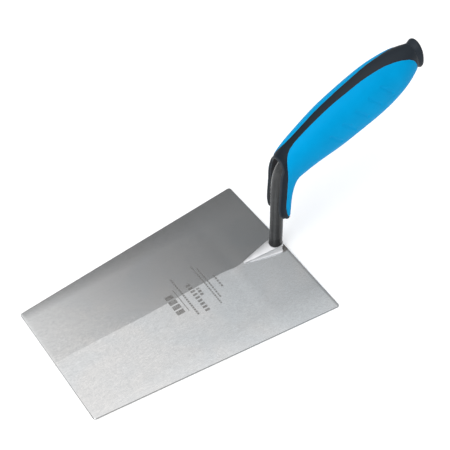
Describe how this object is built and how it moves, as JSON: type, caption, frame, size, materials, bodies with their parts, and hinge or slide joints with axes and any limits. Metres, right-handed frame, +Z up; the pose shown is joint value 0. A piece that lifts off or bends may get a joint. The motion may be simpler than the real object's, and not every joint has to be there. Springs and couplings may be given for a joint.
{
  "type": "bucket trowel",
  "caption": "Flat trapezoid steel trowel blade on a cranked round shank, with a soft two-material handle, for scooping and spreading mortar or plaster from a bucket.",
  "frame": {"origin": "on the flat underside of the blade, on its centre line, directly below the foot of the shank and 5 mm in from the heel edge", "axes": "-X towards the toe of the blade, +X towards the butt of the handle, +Z up out of the blade's upper face, +Y to the right of someone looking along the blade towards the toe"},
  "size_m": [0.2961, 0.1386, 0.1258],
  "materials": {
    "ground_steel": "satin ground steel with fine scratches",
    "polished_steel": "brightly ground and polished steel",
    "dark_lacquer": "semi-gloss dark grey lacquer on steel",
    "charcoal_plastic": "fine-textured matt charcoal plastic",
    "blue_rubber": "semi-matt bright blue soft grip"
  },
  "bodies": {
    "root": {"blade": "ground_steel", "blade_tongue": "polished_steel", "tongue_weld_left": "polished_steel", "tongue_weld_right": "polished_steel", "shank": "dark_lacquer", "shank_weld": "dark_lacquer", "handle_core": "charcoal_plastic", "soft_grip": "blue_rubber", "butt_cap": "charcoal_plastic"}
  },
  "joints": []
}
